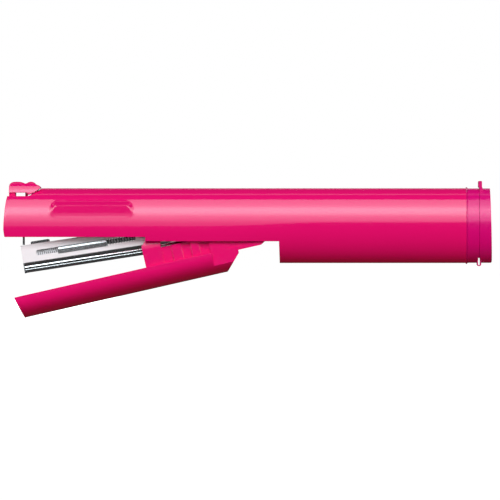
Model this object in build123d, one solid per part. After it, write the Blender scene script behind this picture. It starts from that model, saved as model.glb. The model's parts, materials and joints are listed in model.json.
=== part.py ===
from build123d import *
import os
from math import asin, cos, degrees

os.makedirs("parts", exist_ok=True)

# ---------------------------------------------------------------- driving dimensions, mm
# +X runs from the tip to the cap, +Z is up, and the barrel's underside is at z = 0.
LENGTH = 137.0
TUBE_WIDTH = 17.0
TUBE_HEIGHT = 21.0
WALL = 1.4
REAR_CENTRE = 10.5            # centre of the oval rear section
FRONT_ARCH_CENTRE = 9.0       # centre of the taller arch over the jaw
CREASE_Z = 10.35              # line where the arch meets the lower wall
FRONT_SKIRT_DEPTH = 12.5      # lower ellipse of the front section
BLEND_START = 55.0            # the front section turns into the rear one between these
BLEND_END = 77.2
FRONT_EDGE_Z = 7.3            # lower edge over the jaw
MID_EDGE_Z = 6.1              # lower edge over the pivot arms
EDGE_STEP_X = 39.7
TUBE_STEP_X = 77.2
WEB_START = 77.0              # web that closes the staple store in front
WEB_END = 79.0
TUBE_END = 129.7

PIVOT_X = 72.3                # common axis of lever and magazine
PIVOT_Z = 10.5
PIN_R = 1.5
RUNNING_GAP = 0.05            # radial play of a hole on its pin
LEVER_REST = -12.8            # degrees from parallel, jaw open
MAGAZINE_REST = -8.75
LEVER_TRAVEL = 11.7

JAW_HALF = 8.1                # half width of the lever trough
JAW_RIM_Z = 6.2
JAW_OVAL_Z = 5.2
JAW_WALL = 1.0
JAW_FLOOR = 1.2
FRAME_OUTER = 6.85            # half width over the frame's cheeks and arms
FRAME_INNER = 5.8
FRAME_REAR_X = 56.8

PLATE_OUTER = 5.2             # half width over the magazine's side plates
STEEL = 0.5
MAG_TOP = 15.15
MAG_FRONT = 5.0
SLOT_START = 8.8
SLOT_END = 36.8
SLOT_LOW = 11.8
SLOT_HIGH = 13.3
ROD_Z = 12.55
ROD_R = 0.6
SPRING_SEAT_X = 44.0
PUSHER_START = 14.85
PUSHER_END = 28.8
STAPLE_COUNT = 17
STAPLE_PITCH = 0.51
STAPLE_START = 5.95
STAPLE_WIRE = 0.49
STAPLE_HALF = 4.3
STAPLE_TOP = 14.6
STAPLE_FOOT = 9.8

DRIVER_FRONT = 5.35           # blade face that pushes the staple
DRIVER_BACK = 5.75
DRIVER_HALF = 4.2
DRIVER_TOP = 15.6             # the strip is bent back under the roof at this height
DRIVER_LIP = 0.6              # thickness of the strip
DRIVER_SCREWS_X = (15.0, 21.0)
ANVIL_TOP = 6.05
ANVIL_SEAT = 5.4
RIVETS_X = (12.0, 30.0)
FRAME_SCREWS_X = (51.5, 55.0)
SLAB_TOP = 5.6

LATCH_PIN_X = 8.7
LATCH_PIN_Z = 18.7
LATCH_PIN_R = 0.7
NOTCH_FLOOR = 18.75

CAP_START = 133.4
STRAP_X = 133.3
STRAP_Z = -0.3                # the loop is rounded about this axis, on which the cap turns
STRAP_R = 0.58
STRAP_THICK = 0.27

SECTION_PLANE = Plane(origin=(0, 0, 0), x_dir=(0, 1, 0), z_dir=(1, 0, 0))
SIDE_PLANE = Plane(origin=(0, 0, 0), x_dir=(1, 0, 0), z_dir=(0, -1, 0))


# ---------------------------------------------------------------- small builders
def block(x0, x1, y0, y1, z0, z1):
    """Box between two corners."""
    size = (x1 - x0, y1 - y0, z1 - z0)
    return Pos((x0 + x1) / 2, (y0 + y1) / 2, (z0 + z1) / 2) * Box(*size)


def wide(x0, x1, half, z0, z1):
    """Box centred on y = 0."""
    return block(x0, x1, -half, half, z0, z1)


def both(shape):
    """The shape and its mirror image across the middle plane."""
    return shape + mirror(shape, Plane.XZ)


def rod_y(x, z, radius, y0, y1):
    """Cylinder along Y."""
    return Pos(x, (y0 + y1) / 2, z) * Rot(90, 0, 0) * Cylinder(radius, y1 - y0)


def rod_x(x0, x1, z, radius, y=0.0):
    """Cylinder along X."""
    return Pos((x0 + x1) / 2, y, z) * Rot(0, 90, 0) * Cylinder(radius, x1 - x0)


def rod_z(x, y, z0, z1, radius):
    """Cylinder along Z."""
    return Pos(x, y, (z0 + z1) / 2) * Cylinder(radius, z1 - z0)


def side_profile(points, half):
    """Prism of an XZ outline, centred on y = 0."""
    outline = make_face(Polyline(*points, close=True))
    return extrude(SIDE_PLANE * outline, half, both=True)


def side_profile_at(points, y0, y1):
    """Prism of an XZ outline between two y values."""
    outline = make_face(Polyline(*points, close=True))
    return Pos(0, y1, 0) * extrude(SIDE_PLANE * outline, y1 - y0)


def barrel_section(rear, inset=0.0):
    """Closed barrel outline: rear 0 is the creased front section, 1 the plain oval."""
    centre = FRONT_ARCH_CENTRE + rear * (REAR_CENTRE - FRONT_ARCH_CENTRE)
    height = TUBE_HEIGHT - centre - inset
    half = TUBE_WIDTH / 2 - inset
    lean = asin((CREASE_Z - centre) / height)
    depth = FRONT_SKIRT_DEPTH + rear * (CREASE_Z - FRONT_SKIRT_DEPTH) - inset
    turn = degrees(lean)
    arch = EllipticalCenterArc((0, centre), half, height, turn, arc_size=180 - 2 * turn)
    belly = EllipticalCenterArc((0, CREASE_Z), half * cos(lean), depth, 180, arc_size=180)
    return make_face([arch, belly])


def open_section(inset):
    """Arch of the front cavity with straight sides running down past the open edge."""
    height = TUBE_HEIGHT - FRONT_ARCH_CENTRE - inset
    half = TUBE_WIDTH / 2 - inset
    lean = asin((CREASE_Z - FRONT_ARCH_CENTRE) / height)
    turn = degrees(lean)
    arch = EllipticalCenterArc(
        (0, FRONT_ARCH_CENTRE), half, height, turn, arc_size=180 - 2 * turn
    )
    side = half * cos(lean)
    legs = Polyline((-side, CREASE_Z), (-side, -8), (side, -8), (side, CREASE_Z))
    return make_face([arch, legs])


def along_x(face, x0, x1):
    """Extrude a YZ section from x0 to x1."""
    return Pos(x0, 0, 0) * extrude(SECTION_PLANE * face, x1 - x0)


def swing(shape, degrees_open):
    """Turn a shape about the common pivot; negative angles open the jaw."""
    turn = Pos(PIVOT_X, 0, PIVOT_Z) * Rot(0, degrees_open, 0) * Pos(-PIVOT_X, 0, -PIVOT_Z)
    return turn * shape


def coil(pitch, height, radius, wire):
    """Round-wire helix about Z."""
    path = Helix(pitch, height, radius)
    profile = Plane(origin=path @ 0, z_dir=path % 0) * Circle(wire)
    return sweep(profile, path=path, is_frenet=True)


# ---------------------------------------------------------------- barrel
def make_body_shell():
    """Oval barrel: front half open below, rear half a tube for spare staples."""
    front = along_x(barrel_section(0.0), 0, BLEND_START)
    blend = loft(
        [
            Pos(BLEND_START, 0, 0) * (SECTION_PLANE * barrel_section(0.0)),
            Pos(BLEND_END, 0, 0) * (SECTION_PLANE * barrel_section(1.0)),
        ],
        ruled=True,
    )
    rear = along_x(barrel_section(1.0), BLEND_END, TUBE_END)
    shell = front + blend + rear

    # Grip pads stand out of both sides near the tip.
    pad_outline = RectangleRounded(24.0, 6.5, 2.2)
    pad_plane = Plane(origin=(24.7, -5.9, 14.25), x_dir=(1, 0, 0), z_dir=(0, -1, 0))
    pad = extrude(pad_plane * pad_outline, 2.25, taper=32)
    shell += both(pad)

    # Lower edge, stepped over the pivot arms and up to the closed tube.
    shell -= side_profile(
        [(-2, -6), (-2, FRONT_EDGE_Z), (EDGE_STEP_X, FRONT_EDGE_Z), (EDGE_STEP_X, MID_EDGE_Z),
         (TUBE_STEP_X, MID_EDGE_Z), (TUBE_STEP_X + 0.4, -6)],
        12,
    )
    # Front face bulges a little in the middle of its height.
    nose = Spline((0.5, 5.5), (0.35, 7.3), (0.0, 13.4), (1.26, 18.8), (2.2, 22))
    nose_cut = make_face([nose, Polyline((2.2, 22), (-3, 22), (-3, 5.5), (0.5, 5.5))])
    shell -= extrude(SIDE_PLANE * nose_cut, 12, both=True)

    cavity = along_x(open_section(WALL), 1.3, WEB_START)
    roof_fill = wide(0, 11.5, 12, 17.3, 24)
    shell -= cavity - roof_fill
    shell -= along_x(barrel_section(1.0, WALL), WEB_END, TUBE_END + 1)

    # Notch under the thumb pad, its ramp, and the latch's openings.
    shell -= side_profile([(-1, NOTCH_FLOOR), (7.0, NOTCH_FLOOR), (10.4, 20.8), (10.4, 24), (-1, 24)], 12)
    shell -= wide(-1, 3.8, 2.1, 16.0, 20)
    shell -= wide(5.6, 10.2, 2.2, 16.0, 22)
    shell -= rod_y(LATCH_PIN_X, LATCH_PIN_Z, LATCH_PIN_R, -4.2, 4.2)

    # Bosses for the driver's screws hang from the roof.
    for x in DRIVER_SCREWS_X:
        shell += rod_z(x, 0, DRIVER_TOP, 20.0, 1.9)
        shell -= rod_z(x, 0, 15.0, 18.6, 0.8)
    # Blind bores for the pivot pin.
    shell -= rod_y(PIVOT_X, PIVOT_Z, PIN_R, -7.7, 7.7)
    return shell


def make_driver_blade():
    """Blade with a strip bent back under the roof, slotted for the latch hook."""
    blade = wide(DRIVER_FRONT, DRIVER_BACK, DRIVER_HALF, 5.05, DRIVER_TOP)
    strip = wide(DRIVER_FRONT, 24.0, DRIVER_HALF, DRIVER_TOP - DRIVER_LIP, DRIVER_TOP)
    shape = blade + strip - wide(DRIVER_BACK, 8.9, 1.9, 14, 16)
    for x in DRIVER_SCREWS_X:
        shape -= rod_z(x, 0, 14, 16, 0.8)
    return shape


def make_driver_screws():
    """Two pan-head screws that hold the driver's strip."""
    screws = []
    seat = DRIVER_TOP - DRIVER_LIP
    for x in DRIVER_SCREWS_X:
        screw = rod_z(x, 0, seat - 0.8, seat, 1.6) + rod_z(x, 0, seat, 18.4, 0.8)
        screw -= wide(x - 1.1, x + 1.1, 0.2, 14.0, 14.5)
        screw -= block(x - 0.2, x + 0.2, -1.1, 1.1, 14.0, 14.5)
        screws.append(screw)
    return Compound(screws)


def make_pivot_bushes():
    """Washers between the magazine's ears and the lever's arms."""
    ring = rod_y(PIVOT_X, PIVOT_Z, 3.0, -5.7, -5.3) - rod_y(PIVOT_X, PIVOT_Z, PIN_R, -6, -5)
    return Compound([ring, mirror(ring, Plane.XZ)])


def make_return_spring():
    """Torsion spring round the pivot pin, both legs running forward."""
    radius = 2.6
    pitch = 0.8
    height = 4.5 * pitch
    wire = 0.3
    reach = 8.0
    spring = coil(pitch, height, radius, wire)
    spring += Pos(radius, -reach / 2, 0) * Rot(90, 0, 0) * Cylinder(wire, reach)
    spring += Pos(-radius, -reach / 2, height) * Rot(90, 0, 0) * Cylinder(wire, reach)
    place = Plane(origin=(PIVOT_X, -height / 2, PIVOT_Z), x_dir=(0, 0, 1), z_dir=(0, 1, 0))
    return place * spring


def make_tip_latch():
    """Thumb pad with a dip, a front leg, a lug on the pin and a hook arm."""
    lobes = Spline(
        (1.5, 21.2), (2.4, 22.6), (4.2, 22.75), (6.3, 21.95), (7.8, 22.7), (9.4, 22.3), (10.4, 21.3)
    )
    under = Polyline((10.4, 21.3), (10.2, 20.75), (8.6, 19.95), (6.9, 19.75), (1.5, 19.75), (1.5, 21.2))
    pad = extrude(SIDE_PLANE * make_face([lobes, under]), 4.5, both=True)
    pad = pad & (Pos(6, 0, 19.0) * Rot(0, 90, 0) * Cylinder(4.5, 14))
    leg = wide(1.5, 3.4, 1.9, 16.4, 20.5) + wide(3.3, 4.1, 1.7, 16.4, 17.1)
    lug = wide(7.7, 9.7, 1.9, LATCH_PIN_Z, 20.4) + rod_y(LATCH_PIN_X, LATCH_PIN_Z, 1.0, -1.9, 1.9)
    arm = wide(6.0, 6.7, 1.5, 12.65, 20.4) + wide(6.6, 7.1, 1.5, 12.65, 13.0)
    latch = pad + leg + lug + arm
    return latch - rod_y(LATCH_PIN_X, LATCH_PIN_Z, LATCH_PIN_R + RUNNING_GAP, -3, 3)


# ---------------------------------------------------------------- rear end
def make_rear_collar():
    """Ring with a small flange and a spigot inside the tube."""
    ring = along_x(barrel_section(1.0), TUBE_END, STRAP_X) - along_x(barrel_section(1.0, WALL), 129, 134)
    flange = along_x(barrel_section(1.0, -0.3), TUBE_END, TUBE_END + 0.5)
    flange -= along_x(barrel_section(1.0, WALL), 129, 131)
    spigot = along_x(barrel_section(1.0, WALL + 0.05), 127.0, TUBE_END)
    spigot += along_x(barrel_section(1.0, WALL), TUBE_END, TUBE_END + 0.6)
    spigot -= along_x(barrel_section(1.0, WALL + 0.95), 126, 131)
    return ring + flange + spigot - wide(STRAP_X - 0.3, 134, 4.5, -3, 1.4)


def make_end_cap():
    """Rounded cap with a plug ring and a finger tab on top."""
    cap = along_x(barrel_section(1.0), CAP_START, LENGTH)
    cap = fillet(cap.faces().sort_by(Axis.X)[-1].edges(), 0.5)
    cap += along_x(barrel_section(1.0, WALL + 0.3), 131.2, CAP_START)
    cap -= along_x(barrel_section(1.0, WALL + 1.2), 131, LENGTH - 1.3)
    cap -= wide(CAP_START - 0.1, CAP_START + 0.2, 4.5, -3, 1.4)
    tab = side_profile([(CAP_START, 19.8), (CAP_START, 21.15), (133.1, 21.15), (133.1, 22.8),
                        (133.3, 23.0), (133.9, 23.0), (134.1, 22.8), (134.1, 21.4),
                        (134.5, 20.9), (134.5, 19.8)], 3.2)
    return cap + tab


def make_hinge_strap():
    """Thin loop under the joint between collar and cap."""
    inner = STRAP_R - STRAP_THICK
    loop = rod_y(STRAP_X, STRAP_Z, STRAP_R, -3.0, 3.0)
    loop += wide(STRAP_X - STRAP_R, STRAP_X + STRAP_R, 3.0, STRAP_Z, 0.9)
    loop -= rod_y(STRAP_X, STRAP_Z, inner, -4.0, 4.0)
    loop -= wide(STRAP_X - inner, STRAP_X + inner, 4.0, STRAP_Z, 1.0)
    solid_ends = along_x(barrel_section(1.0), 132.0, 135.0)
    return loop - solid_ends


# ---------------------------------------------------------------- lever, jaw parallel to the barrel
def jaw_section(wall=0.0, floor=0.0):
    """Trough outline: upright walls above a half oval."""
    half = JAW_HALF - wall
    bowl = EllipticalCenterArc((0, JAW_OVAL_Z), half, JAW_OVAL_Z - floor, 180, arc_size=180)
    top = JAW_RIM_Z + (2.0 if wall else 0.0)
    walls = Polyline((half, JAW_OVAL_Z), (half, top), (-half, top), (-half, JAW_OVAL_Z))
    return make_face([bowl, walls])


def make_lever_shell():
    """Trough with a raked nose, ledges for the anvil and bosses for the screws."""
    outer = along_x(jaw_section(), 0, FRAME_REAR_X)
    shell = outer - along_x(jaw_section(JAW_WALL, JAW_FLOOR), 2.6, FRAME_REAR_X + 1)
    ledge = block(2.6, 36.0, 5.4, 7.4, 2.5, 5.4)
    shell += both(ledge) & outer
    for x in RIVETS_X:
        shell += rod_z(x, 0, 0.8, ANVIL_SEAT, 1.9)
        shell -= rod_z(x, 0, 2.4, 6.0, 0.8)
    for x in FRAME_SCREWS_X:
        shell += rod_z(x, 0, 0.8, 4.4, 1.7)
        shell -= rod_z(x, 0, 1.4, 5.0, 0.7)
    rake = side_profile([(-1, -1), (2.05, -1), (1.8, 0.15), (0.12, 6.5), (-1, 6.5)], 10)
    return shell - rake


def cavity_clearance():
    """Space inside the barrel with the lever closed, seen from the lever."""
    space = along_x(open_section(WALL + 0.22), 0, WEB_START - 0.3)
    space += wide(0, WEB_START, 12, -8, 4.0)
    return swing(space, -(LEVER_REST + LEVER_TRAVEL))


def make_lever_frame():
    """Posts, castellated cheeks, rear block and the two arms to the pivot."""
    slab = wide(36.6, FRAME_REAR_X, FRAME_OUTER, 4.4, SLAB_TOP)
    post = side_profile_at([(38.15, 4.4), (38.15, 12.2), (39.6, 13.6), (43.5, 13.6), (43.5, 4.4)],
                           FRAME_INNER, FRAME_OUTER)
    frame = slab + both(post)
    # Raised and recessed panels take turns along the cheek.
    panel_edges = [43.5, 46.3, 49.1, 51.6, 54.0, 56.8]
    for index in range(len(panel_edges) - 1):
        face_y = FRAME_OUTER if index % 2 else FRAME_OUTER - 0.4
        panel = block(panel_edges[index], panel_edges[index + 1], FRAME_INNER, face_y, 4.4, 10.8)
        frame += both(panel)
    rear_outer = along_x(jaw_section(), FRAME_REAR_X, 66) & wide(FRAME_REAR_X, 66, FRAME_OUTER, -1, 7)
    rear_outer &= side_profile([(50, 0), (60.2, 0.0), (64.4, 4.5), (64.4, 5.3), (62.4, 7.0), (50, 7.0)], 10)
    frame += rear_outer
    arm = side_profile_at([(56.0, 5.3), (71.0, 5.3), (73.0, 6.4), (73.0, 14.4), (70.0, 14.4),
                           (66.5, 12.6), (60.0, 10.8), (56.0, 10.8)], FRAME_INNER, FRAME_OUTER)
    frame += both(arm + rod_y(PIVOT_X, PIVOT_Z, 4.2, FRAME_INNER, FRAME_OUTER))
    frame -= wide(FRAME_REAR_X + 1.2, 66, FRAME_INNER, 4.4, 9)
    frame -= side_profile([(58.0, 1.4), (60.4, 1.4), (62.6, 3.8), (62.6, 5), (58.0, 5)], 5.0)
    frame = frame & cavity_clearance()
    frame -= rod_y(PIVOT_X, PIVOT_Z, PIN_R + RUNNING_GAP, -9, 9)
    for x in FRAME_SCREWS_X:
        frame -= rod_z(x, 0, 4, 6, 0.7)
    return frame


def make_anvil_plate():
    """Steel plate with two crimping grooves near its front edge."""
    plate = wide(2.9, 34.5, 6.9, ANVIL_SEAT, ANVIL_TOP)
    groove_r = 5.9
    for y in (-2.35, 2.35):
        plate -= rod_x(4.7, 5.9, ANVIL_TOP + groove_r - 0.35, groove_r, y)
    for x in RIVETS_X:
        plate -= rod_z(x, 0, 5, 7, 1.3)
    return plate


def make_anvil_rivets():
    """Two stakes through the anvil plate, flush with its top."""
    heads = [rod_z(x, 0, ANVIL_SEAT, ANVIL_TOP, 1.3) for x in RIVETS_X]
    shanks = [rod_z(x, 0, 2.6, ANVIL_SEAT, 0.8) for x in RIVETS_X]
    return Compound([head + shank for head, shank in zip(heads, shanks)])


def make_frame_screws():
    """Two screws through the frame's slab into the trough."""
    leaf_foot = 0.3
    seats = (SLAB_TOP + leaf_foot, SLAB_TOP)
    screws = []
    for x, z in zip(FRAME_SCREWS_X, seats):
        screws.append(rod_z(x, 0, z, z + 0.6, 1.3) + rod_z(x, 0, 1.6, z, 0.7))
    return Compound(screws)


def make_magazine_leaf():
    """Leaf spring that lifts the magazine off the lever."""
    leaf = side_profile([(53.2, 5.6), (53.2, 5.9), (48.1, 5.9), (41.0, 9.3), (40.9, 9.0), (48.0, 5.6)], 2.5)
    return leaf - rod_z(FRAME_SCREWS_X[0], 0, 5, 7, 0.7)


# ---------------------------------------------------------------- magazine, parallel to the barrel
def make_magazine_channel():
    """Bent steel channel: side slots, shoulder bend, lower rail and pivot ears."""
    half_outline = [(5.2, 15.15), (5.2, 10.2), (5.55, 9.5), (5.55, 9.1), (5.0, 9.1), (5.0, 8.6),
                    (5.4, 8.6), (5.4, 7.4)]
    mirrored = [(-y, z) for y, z in reversed(half_outline)]
    inner = [(-4.7, 15.15), (-4.7, 7.9), (4.7, 7.9), (4.7, 15.15)]
    channel = along_x(make_face(Polyline(*half_outline, *mirrored, *inner, close=True)), MAG_FRONT, 58.0)
    ear_outline = [(57.0, 7.4), (62.0, 7.4), (PIVOT_X, 6.6), (PIVOT_X, 14.4), (66.0, 15.0), (57.0, 15.15)]
    ear = side_profile_at(ear_outline, PLATE_OUTER - STEEL, PLATE_OUTER)
    ear += rod_y(PIVOT_X, PIVOT_Z, 3.9, PLATE_OUTER - STEEL, PLATE_OUTER)
    channel += both(ear)
    channel -= wide(0, 7.2, 4.7, 7, 8.2)
    slot = wide(SLOT_START + 0.5, SLOT_END - 0.5, 9, SLOT_LOW, SLOT_HIGH)
    slot += wide(SLOT_START, SLOT_END, 9, SLOT_LOW + 0.3, SLOT_HIGH - 0.3)
    channel -= slot
    return channel - rod_y(PIVOT_X, PIVOT_Z, PIN_R + RUNNING_GAP, -9, 9)


def make_nose_plate():
    """Steel nose in front of the driver's slot, with two small feet."""
    nose = wide(MAG_FRONT - 0.3, MAG_FRONT, PLATE_OUTER, 7.6, MAG_TOP)
    nose = fillet(nose.edges().filter_by(Axis.X).group_by(Axis.Z)[-1], 0.8)
    feet = block(MAG_FRONT - 0.3, MAG_FRONT, 4.2, PLATE_OUTER, 7.3, 7.6)
    return nose + both(feet)


def make_magazine_cover():
    """Top strip over the first staples, with the raised bridge that the latch hooks."""
    strip = wide(6.05, 14.0, PLATE_OUTER - STEEL, STAPLE_TOP + 0.1, MAG_TOP)
    strip -= wide(5.8, 12.0, 1.9, 14, 16)
    bridge_side = [(7.6, MAG_TOP), (7.6, 15.7), (7.9, 15.9), (12.5, 15.9), (12.8, 15.7), (12.8, MAG_TOP)]
    bridge = side_profile(bridge_side, 4.2)
    bridge -= side_profile([(7.0, 15.1), (7.0, 15.5), (12.2, 15.5), (12.4, 15.1)], 2.4)
    return strip + bridge


def make_core_rail():
    """Inverted channel that the staples straddle, windowed for the pusher."""
    rail = wide(STAPLE_START, SPRING_SEAT_X + 0.8, 3.7, 7.9, 14.0)
    rail -= wide(STAPLE_START + STEEL, SPRING_SEAT_X, 3.2, 7.0, 13.5)
    rail -= wide(SLOT_START, SLOT_END, 6, SLOT_LOW, SLOT_HIGH)
    rail -= rod_x(5, 46, ROD_Z, ROD_R)
    return rail


def make_guide_rod():
    """Rod through the pusher spring."""
    return rod_x(STAPLE_START, SPRING_SEAT_X + 0.8, ROD_Z, ROD_R)


def make_staple_strip():
    """Staples astride the core rail."""
    staples = []
    for index in range(STAPLE_COUNT):
        x0 = STAPLE_START + index * STAPLE_PITCH
        x1 = x0 + STAPLE_WIRE
        staple = wide(x0, x1, STAPLE_HALF, STAPLE_FOOT, STAPLE_TOP)
        staple -= wide(x0 - 1, x1 + 1, STAPLE_HALF - STAPLE_WIRE, STAPLE_FOOT - 1, STAPLE_TOP - STAPLE_WIRE)
        staples.append(staple)
    return Compound(staples)


def make_pusher():
    """Saddle on the core rail, pushed by the spring, with a bar outside each slot."""
    saddle = wide(PUSHER_START, PUSHER_END, 4.45, 10.0, STAPLE_TOP)
    saddle -= wide(PUSHER_START - 1, PUSHER_END + 1, 3.85, 9, 14.1)
    web = wide(PUSHER_START + 1.2, PUSHER_END - 0.8, 5.3, 11.95, 13.15)
    block_inside = wide(25.5, PUSHER_END, 2.2, 11.2, 13.35)
    bar = block(PUSHER_START, PUSHER_END, 5.3, 5.55, 11.45, 13.4)
    bar = fillet(bar.edges().filter_by(Axis.Y), 0.5)
    pusher = saddle + web + block_inside + both(bar)
    return pusher - rod_x(10, 35, ROD_Z, ROD_R + 0.1)


def make_pusher_spring():
    """Coil spring round the guide rod behind the pusher."""
    wire = 0.13
    start = PUSHER_END + wire + 0.02
    length = SPRING_SEAT_X - wire - 0.02 - start
    return Pos(start, 0, ROD_Z) * Rot(0, 90, 0) * coil(0.6, length, 0.79, wire)


# ---------------------------------------------------------------- assembly
PARTS = {
    "body_shell": make_body_shell(),
    "driver_blade": make_driver_blade(),
    "driver_screws": make_driver_screws(),
    "pivot_pin": rod_y(PIVOT_X, PIVOT_Z, PIN_R, -7.7, 7.7),
    "pivot_bushes": make_pivot_bushes(),
    "return_spring": make_return_spring(),
    "latch_pin": rod_y(LATCH_PIN_X, LATCH_PIN_Z, LATCH_PIN_R, -4.2, 4.2),
    "tip_latch": make_tip_latch(),
    "rear_collar": make_rear_collar(),
    "hinge_strap": make_hinge_strap(),
    "end_cap": make_end_cap(),
}
LEVER_PARTS = {
    "lever_shell": make_lever_shell(),
    "lever_frame": make_lever_frame(),
    "anvil_plate": make_anvil_plate(),
    "anvil_rivets": make_anvil_rivets(),
    "frame_screws": make_frame_screws(),
    "magazine_leaf": make_magazine_leaf(),
}
MAGAZINE_PARTS = {
    "magazine_channel": make_magazine_channel(),
    "nose_plate": make_nose_plate(),
    "magazine_cover": make_magazine_cover(),
    "core_rail": make_core_rail(),
    "guide_rod": make_guide_rod(),
    "staple_strip": make_staple_strip(),
    "pusher": make_pusher(),
    "pusher_spring": make_pusher_spring(),
}
for name, shape in LEVER_PARTS.items():
    PARTS[name] = swing(shape, LEVER_REST)
for name, shape in MAGAZINE_PARTS.items():
    PARTS[name] = swing(shape, MAGAZINE_REST)

# The origin is the middle of the length, at the lowest point of the open lever.
tip = PARTS["lever_shell"].bounding_box().min.Z
to_origin = Pos(-LENGTH / 2, 0, -tip)
for name, shape in PARTS.items():
    export_step(to_origin * shape, f"parts/{name}.step")
print("lowest point", tip)
hinges = {"pivot": (PIVOT_X, PIVOT_Z), "latch": (LATCH_PIN_X, LATCH_PIN_Z), "strap": (STRAP_X, STRAP_Z)}
for label, (x, z) in hinges.items():
    print(label, "axis at", round(x - LENGTH / 2, 3), round(z - tip, 3))
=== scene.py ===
"""Looks of a slim pocket stapler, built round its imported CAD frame."""

import json
import logging
import math
from dataclasses import dataclass, field
from enum import Enum
from typing import Callable, Sequence

import bmesh
import bpy
from mathutils import Matrix, Vector

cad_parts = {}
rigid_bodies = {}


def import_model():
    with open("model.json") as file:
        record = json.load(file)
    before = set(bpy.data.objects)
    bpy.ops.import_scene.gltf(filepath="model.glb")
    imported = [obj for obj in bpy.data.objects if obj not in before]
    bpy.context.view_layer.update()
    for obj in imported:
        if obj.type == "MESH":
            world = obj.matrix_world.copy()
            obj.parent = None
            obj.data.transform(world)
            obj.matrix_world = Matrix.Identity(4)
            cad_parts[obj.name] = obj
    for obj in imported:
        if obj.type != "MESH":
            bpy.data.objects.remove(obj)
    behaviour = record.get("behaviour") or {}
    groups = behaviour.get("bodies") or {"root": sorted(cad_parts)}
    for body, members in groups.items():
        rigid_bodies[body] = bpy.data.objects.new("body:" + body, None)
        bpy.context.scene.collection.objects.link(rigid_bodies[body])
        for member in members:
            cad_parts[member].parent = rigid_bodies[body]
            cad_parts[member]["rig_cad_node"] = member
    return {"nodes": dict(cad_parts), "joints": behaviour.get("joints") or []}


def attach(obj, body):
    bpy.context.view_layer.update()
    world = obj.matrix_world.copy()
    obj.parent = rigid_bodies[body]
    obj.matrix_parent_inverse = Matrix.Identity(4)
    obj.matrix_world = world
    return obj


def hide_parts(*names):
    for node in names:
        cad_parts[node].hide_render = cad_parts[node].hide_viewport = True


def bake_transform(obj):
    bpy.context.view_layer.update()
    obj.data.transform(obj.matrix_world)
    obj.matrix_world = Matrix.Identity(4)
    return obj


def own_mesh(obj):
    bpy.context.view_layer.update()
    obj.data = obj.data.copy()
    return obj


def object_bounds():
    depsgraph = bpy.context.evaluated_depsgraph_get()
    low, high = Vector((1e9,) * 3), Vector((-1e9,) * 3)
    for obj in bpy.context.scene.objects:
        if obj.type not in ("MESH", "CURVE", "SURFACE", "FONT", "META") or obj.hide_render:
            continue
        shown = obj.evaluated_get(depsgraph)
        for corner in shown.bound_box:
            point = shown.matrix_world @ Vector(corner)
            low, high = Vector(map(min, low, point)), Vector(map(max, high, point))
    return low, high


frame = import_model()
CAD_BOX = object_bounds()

log = logging.getLogger("stapler")

MM = 0.001
SHARP_ANGLE = math.radians(32)
Point2 = tuple[float, float]
Point3 = tuple[float, float, float]
SIDES = (-1, 1)


class Body(Enum):
    """Rigid bodies of the stapler."""

    BARREL = "barrel"
    LEVER = "lever"
    MAGAZINE = "magazine"
    PUSHER = "pusher"
    LATCH = "latch"
    CAP = "cap"


class Swing(Enum):
    """Groups drawn parallel to the barrel, and how far each hangs open at rest, in degrees."""

    NONE = 0.0
    LEVER = -12.8
    MAGAZINE = -8.75


# ------------------------------------------------------------------ placing
@dataclass(frozen=True)
class Datum:
    """Drawing frame: millimetres from the barrel's tip, z = 0 under the closed tube."""

    pivot_x: float = 72.3
    pivot_z: float = 10.5

    def origin(self) -> Vector:
        """Row-frame place of the drawing origin, from the lever's hinge.

        Returns:
            The origin, in metres.
        """
        hinge = next(j for j in frame["joints"] if j["name"] == "lever_hinge")
        pivot = Vector(hinge["pos_m"])
        return pivot - Vector((self.pivot_x, 0.0, self.pivot_z)) * MM

    def matrix(self, swing: Swing) -> Matrix:
        """Transform from the drawing frame to the row frame.

        Args:
            swing: which group the drawing belongs to.

        Returns:
            The transform, turned about the pivot by the group's rest angle.
        """
        pivot = Vector((self.pivot_x, 0.0, self.pivot_z))
        turn = Matrix.Rotation(math.radians(swing.value), 4, "Y")
        swung = Matrix.Translation(pivot) @ turn @ Matrix.Translation(-pivot)
        return Matrix.Translation(self.origin()) @ Matrix.Scale(MM, 4) @ swung

    def point(self, x: float, y: float, z: float, swing: Swing = Swing.NONE) -> Vector:
        """Row-frame place of a drawing point.

        Args:
            x: distance from the tip.
            y: distance from the middle.
            z: height over the closed tube.
            swing: which group the point belongs to.

        Returns:
            The place, in metres.
        """
        return self.matrix(swing) @ Vector((x, y, z))


DATUM = Datum()


# ------------------------------------------------------------------ mesh tools, in drawing millimetres
def object_from(bm: bmesh.types.BMesh, name: str) -> bpy.types.Object:
    """Turn a bmesh into a linked object and free it.

    Args:
        bm: the shape.
        name: the object's name.

    Returns:
        The new object, at the origin.
    """
    mesh = bpy.data.meshes.new(name)
    bm.to_mesh(mesh)
    bm.free()
    obj = bpy.data.objects.new(name, mesh)
    bpy.context.scene.collection.objects.link(obj)
    return obj


def box(x0: float, x1: float, y0: float, y1: float, z0: float, z1: float) -> bpy.types.Object:
    """Block between two corners.

    Args:
        x0: front end.
        x1: rear end.
        y0: near side.
        y1: far side.
        z0: bottom.
        z1: top.

    Returns:
        The block.
    """
    bm = bmesh.new()
    size = Matrix.Diagonal((x1 - x0, y1 - y0, z1 - z0, 1.0))
    middle = Matrix.Translation(((x0 + x1) / 2, (y0 + y1) / 2, (z0 + z1) / 2))
    bmesh.ops.create_cube(bm, size=1.0, matrix=middle @ size)
    return object_from(bm, "cutter")


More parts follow.
